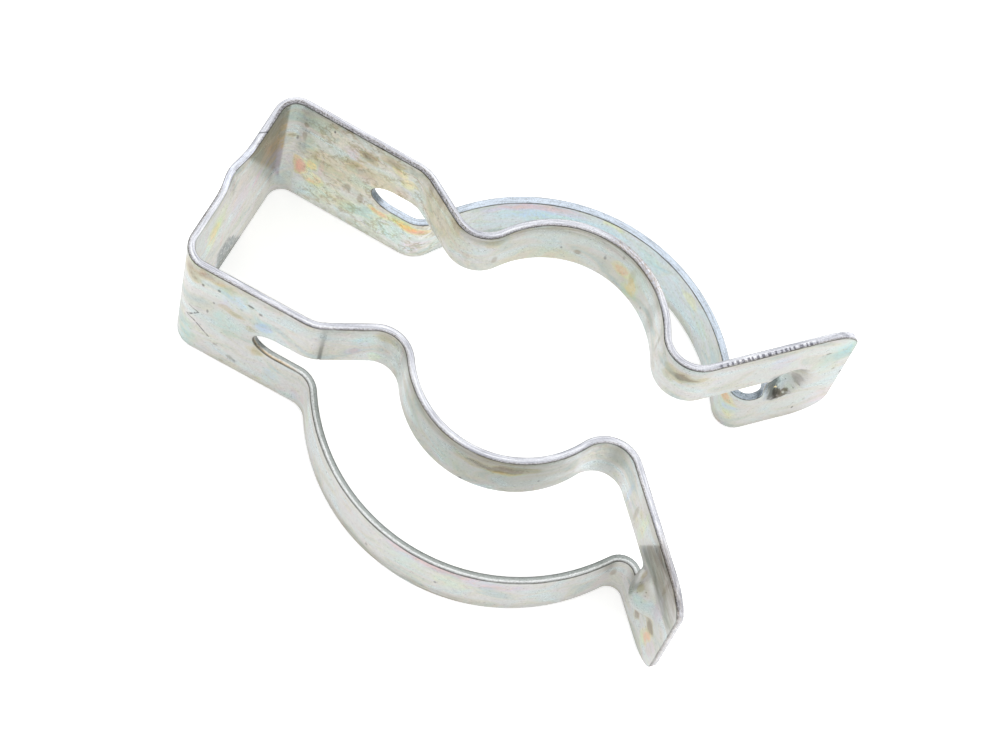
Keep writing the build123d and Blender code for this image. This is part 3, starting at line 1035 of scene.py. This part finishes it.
def add_bowl_reflections(n, colour):
    """Painted dark reflections on the steep wall of arm A's dimple, with a painted glint."""
    raggedness = -0.9
    for at, half, leaves, strength in BOWL_DARK_REFLECTIONS:
        far = n.line(n.fine, raggedness, oval(n, at, half, -1, n.ragged))
        colour = n.tint(colour, n.fade(far, 0.95, 0.15, 0.0, strength), leaves)
    for at, half, shine, strength in BOWL_PAINTED_GLINTS:
        far = n.line(n.fine, raggedness, oval(n, at, half, -1, n.ragged))
        colour = n.blend(n.fade(far, 0.8, 0.2, 0.0, strength), colour, shine)
    return colour


def add_crease_shade(n, colour):
    """Painted shade in the crease across arm B's upper strap, fading upwards."""
    clear, full = 0.30, 0.08
    crease = n.times(
        n.fade(n.away(n.along, CREASE_AT), clear, full),
        n.outside,
        n.fade(n.height, 1.0, 2.0),
        n.fade(n.height, 12.0, 4.0, 0.25, 0.85),
    )
    return n.tint(colour, crease, LEAVES["crease"])


def add_top_band(n, colour):
    """Darker band with drawn lines under the long edges of arm A's inner and arm B's outer face,
    strongest at the seats.
    """
    seat_middle, seat_clear, seat_full = 46.0, 14.0, 8.0
    seat = n.away(n.math("ABSOLUTE", n.along), seat_middle)
    lines = n.noise(n.scaled(n.place, (0.14, 3.6, 0.1)), 1.0, 2.0, 0.6)
    drawn = n.times(n.fade(lines, 0.52, 0.62), n.fade(n.fine, 0.3, 0.5, 0.4, 1.0))
    dark_top_band = n.times(
        n.fade(n.math("ABSOLUTE", n.height), 9.8, 12.0),
        n.fade(n.shown, 0.8, 1.0),
        n.fade(seat, seat_clear, seat_full, 0.35, 1.0),
        n.math("MAXIMUM", drawn, n.fade(n.streaks, 0.35, 0.6, 0.25, 0.9)),
    )
    return n.tint(colour, dark_top_band, LEAVES["dark_top_band"])


def slot_edges(n):
    """Bare metal of the slots' edges."""
    round_end_a = ((23.0, 21.7), (20.0, 20.5))
    round_end_b = ((-20.9, -19.6), (-18.0, -18.5))
    ear_slot_a = ((72.0, 73.5), (77.9, 77.4))
    tan_at, tan_clear, tan_full = -20.0, 5.5, 3.0
    streaky = n.math("SUBTRACT", n.streaks, 0.5)
    depth = n.line(streaky, 0.35, n.line(n.shown, 0.5, 0.5))
    blue = n.tint(blue_metal, 1.0, n.ramp(n.streaks, (0.3, 0.55), (0.5, 0.9), (0.7, 1.0)))
    arm_b = n.fade(n.along, 1.0, -1.0)
    bare = n.blend(arm_b, blue, n.ramp(depth, *SLOT_METAL))
    ends = n.math("ADD", n.between(n.along, *round_end_a), n.between(n.along, *round_end_b))
    bare = n.tint(bare, n.times(ends, n.fade(n.fine, 0.3, 0.5, 0.6, 0.95)), LEAVES["slot_end"])
    ear_slot = n.times(n.between(n.along, *ear_slot_a), n.fade(n.fine, 0.3, 0.55, 1.0, 0.45))
    bare = n.tint(bare, ear_slot, LEAVES["ear_slot"])
    tan = n.times(
        n.fade(n.away(n.along, tan_at), tan_clear, tan_full),
        n.fade(n.shown, -0.1, 0.6),
        n.fade(n.fine, 0.3, 0.5, 0.3, 0.9),
    )
    bare = n.tint(bare, tan, LEAVES["tan"])
    crumbs = n.fade(n.noise(n.ground, 4.0, 2.0, 0.7), 0.52, 0.64, 0.0, 0.55)
    return n.tint(bare, crumbs, LEAVES["crumbs"])


def bare_edges(n):
    """Cut edges: a pale burnished band and a rough darker one, with single marks."""
    long_arm_a = ((5.0, 9.0), (40.0, 32.0))
    struck_at, struck_clear, struck_full = 0.6, 3.4, 2.2
    rust_at, rust_clear, rust_full = 54.5, 5.0, 3.0
    rust_strength, grain_strength = 0.8, 0.7
    bare = n.ramp(n.streaks, *EDGE_METAL)
    long_arm = n.between(n.along, *long_arm_a)
    reach = n.line(long_arm, 0.45, n.shown)
    rough = n.fade(n.line(n.math("SUBTRACT", n.streaks, 0.5), 1.2, reach), 0.3, 0.65)
    rough = n.times(rough, n.fade(n.grain, 0.35, 0.6, 1.0, 0.45))
    bare = n.tint(bare, rough, LEAVES["rough"])
    bare = n.tint(bare, n.times(rough, long_arm), LEAVES["rough_long_arm"])
    bare = n.blend(n.fade(n.cut, -0.5, -0.9), bare, slot_edges(n))

    # struck place on the web's upper edge, rust at arm A's seat, and the edge darker and browner towards
    # the end of arm B
    outer_edge = n.fade(n.cut, 0.5, 0.8)
    struck = n.times(
        n.fade(n.away(n.along, struck_at), struck_clear, struck_full),
        outer_edge,
        n.fade(n.height, 9.0, 11.0),
        n.fade(n.streaks, 0.40, 0.55, 0.1, 0.8),
    )
    bare = n.blend(struck, bare, struck_metal)
    rust = n.times(
        n.fade(n.away(n.along, rust_at), rust_clear, rust_full),
        outer_edge,
        n.fade(n.fine, 0.46, 0.58),
        rust_strength,
    )
    bare = n.tint(bare, rust, LEAVES["rust"])
    brown_end_edge = n.times(
        n.fade(n.along, -75.5, -78.5),
        n.fade(n.edge, 0.5, 0.8),
        n.fade(n.shown, -0.9, 0.5, 0.35, 1.0),
        n.fade(n.worn, 0.30, 0.58, 0.4, 0.95),
    )
    bare = n.tint(bare, brown_end_edge, LEAVES["brown_end_edge"])
    return n.tint(bare, grain_strength, n.ramp(n.grain, (0.30, 0.80), (0.50, 1.0), (0.70, 1.10)))


def add_cut_edges(n, colour):
    """Bare cut edges, with a painted dark reflection where they turn into the faces."""
    colour = n.blend(n.fade(n.edge, 0.55, 0.95), colour, bare_edges(n))
    # painted dark reflection along the rounded turn of the edges into the faces, stronger on arm A's
    # inner and arm B's outer face
    outline = n.times(
        n.between(n.edge, (0.05, 0.3), (0.98, 0.6)),
        n.fade(n.shown, -1.0, 0.6, 0.3, 1.0),
        n.fade(n.coarse, 0.3, 0.6, 0.6, 1.0),
    )
    return n.tint(colour, outline, LEAVES["outline"])


def add_cutter_marks(n, colour):
    """Row of cutter marks on ear A's upper edge."""
    begins, ends = (70.2, 70.8), (82.0, 81.0)
    marks_per_mm, wave = 1.7, 2.5
    count = n.line(n.coarse, wave, n.times(n.along, marks_per_mm))
    marks = n.times(
        n.fade(n.away(n.math("FRACT", count), 0.5), 0.30, 0.18),
        n.between(n.along, begins, ends),
        n.fade(n.edge, 0.7, 0.9),
        n.fade(n.height, 11.8, 12.2),
        n.fade(n.shown, -0.25, 0.05),
        n.fade(n.fine, 0.35, 0.5, 0.35, 1.0),
    )
    return n.tint(colour, marks, LEAVES["cutter"])


def add_crack(n, colour):
    """Crack across the web's upper edge."""
    clear, full = 0.14, 0.05
    slant, strength = 0.35, 0.8
    off = n.away(n.line(n.across, slant, n.along), CRACK_AT)
    crack = n.times(n.fade(off, clear, full), n.fade(n.height, 11.6, 12.2), strength)
    return n.tint(colour, crack, LEAVES["crack"])


def zinc():
    """Thin iridescent zinc plate over sheared and rolled strip."""
    metallic = 0.85
    bump_strength, bump_height, pit_depth = 0.4, 0.03, -1.5
    mat = bpy.data.materials.new("zinc_plate")
    mat.use_nodes = True
    shader = mat.node_tree.nodes["Principled BSDF"]
    n = Plate(mat.node_tree)
    colour = plain_film(n)
    colour = add_flecks(n, colour)
    colour = add_patches(n, colour)
    colour = add_specks(n, colour)
    colour = add_scratch(n, colour)
    colour = add_corner_reflection(n, colour)
    colour = add_ear_reflection(n, colour)
    colour = add_scrape(n, colour)
    colour = add_bowl_reflections(n, colour)
    colour = add_crease_shade(n, colour)
    colour = add_top_band(n, colour)
    colour = add_cut_edges(n, colour)
    colour = add_cutter_marks(n, colour)
    colour = add_crack(n, colour)
    n.put(shader.inputs["Base Color"], colour)
    shader.inputs["Metallic"].default_value = metallic
    n.put(shader.inputs["Roughness"], n.fade(n.line(n.fine, 0.5, n.hue), 0.5, 1.0, 0.26, 0.44))
    bump = n.add("ShaderNodeBump")
    n.put(bump.inputs["Strength"], bump_strength)
    n.put(bump.inputs["Distance"], bump_height * MM)
    n.put(bump.inputs["Height"], n.line(n.pit, pit_depth, n.fine))
    n.put(shader.inputs["Normal"], bump.outputs[0])
    return mat


piece = build_strip()
piece.data.materials.append(zinc())
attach(piece, "root")
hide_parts("pipe_clip")

# camera, fitted to the photograph's perspective
camera_at = Vector((63.39, -146.50, 412.40)) * MM
right = Vector((0.85829542, 0.49964658, 0.11697119))
down = Vector((0.50886956, -0.79931905, -0.31959478))
forward = Vector((-0.06618713, 0.33382982, -0.94030682))
camera_data = bpy.data.cameras.new("camera")
camera_data.sensor_width = 36.0
camera_data.lens = 147.1
camera = bpy.data.objects.new("camera", camera_data)
turned = Matrix((right, -down, -forward)).transposed().to_4x4()
camera.matrix_world = Matrix.Translation(camera_at) @ turned
bpy.context.scene.collection.objects.link(camera)
bpy.context.scene.camera = camera

# plain pale floor, which gives back a little light of its own
floor_reach = 2.0
floor_level = -half_width * MM
paper_grey = 0.96
paper_rough = 0.9
paper_glow = 0.50
floor_mesh = bpy.data.meshes.new("floor")
signs = ((-1, -1), (1, -1), (1, 1), (-1, 1))
corners = [(x * floor_reach, y * floor_reach, floor_level) for x, y in signs]
floor_mesh.from_pydata(corners, [], [(0, 1, 2, 3)])
floor = bpy.data.objects.new("floor", floor_mesh)
bpy.context.scene.collection.objects.link(floor)
paper = bpy.data.materials.new("paper")
paper.use_nodes = True
paper_shader = paper.node_tree.nodes["Principled BSDF"]
paper_shader.inputs["Base Color"].default_value = (paper_grey, paper_grey, paper_grey, 1)
paper_shader.inputs["Roughness"].default_value = paper_rough
paper_shader.inputs["Emission Color"].default_value = (1, 1, 1, 1)
paper_shader.inputs["Emission Strength"].default_value = paper_glow
floor.data.materials.append(paper)

# soft tent of light, brightest from the right, dark low on the left and in front
tent_strength = 1.3
bright_sky = (1.0, 1.0, 1.0)
dark_corner = (0.05, 0.05, 0.055)
grey_rim = (0.30, 0.30, 0.32)
to_the_corner = (-0.6, -0.8, 0.0)
world = bpy.data.worlds.new("studio")
bpy.context.scene.world = world
world.use_nodes = True
w = Nodes(world.node_tree)
look = w.add("ShaderNodeTexCoord").outputs["Generated"]
_, _, look_up = w.add("ShaderNodeSeparateXYZ", look).outputs
towards_corner = w.vector("DOT_PRODUCT", look, to_the_corner)
darkness = w.times(w.fade(look_up, 0.80, 0.35), w.fade(towards_corner, -0.3, 0.6))
sky = w.blend(darkness, bright_sky, dark_corner)
sky = w.blend(w.fade(look_up, 0.55, 0.05, 0.0, 0.75), sky, grey_rim)
background = world.node_tree.nodes["Background"]
w.put(background.inputs[0], sky)
background.inputs[1].default_value = tent_strength

bpy.context.scene.view_settings.view_transform = "Standard"
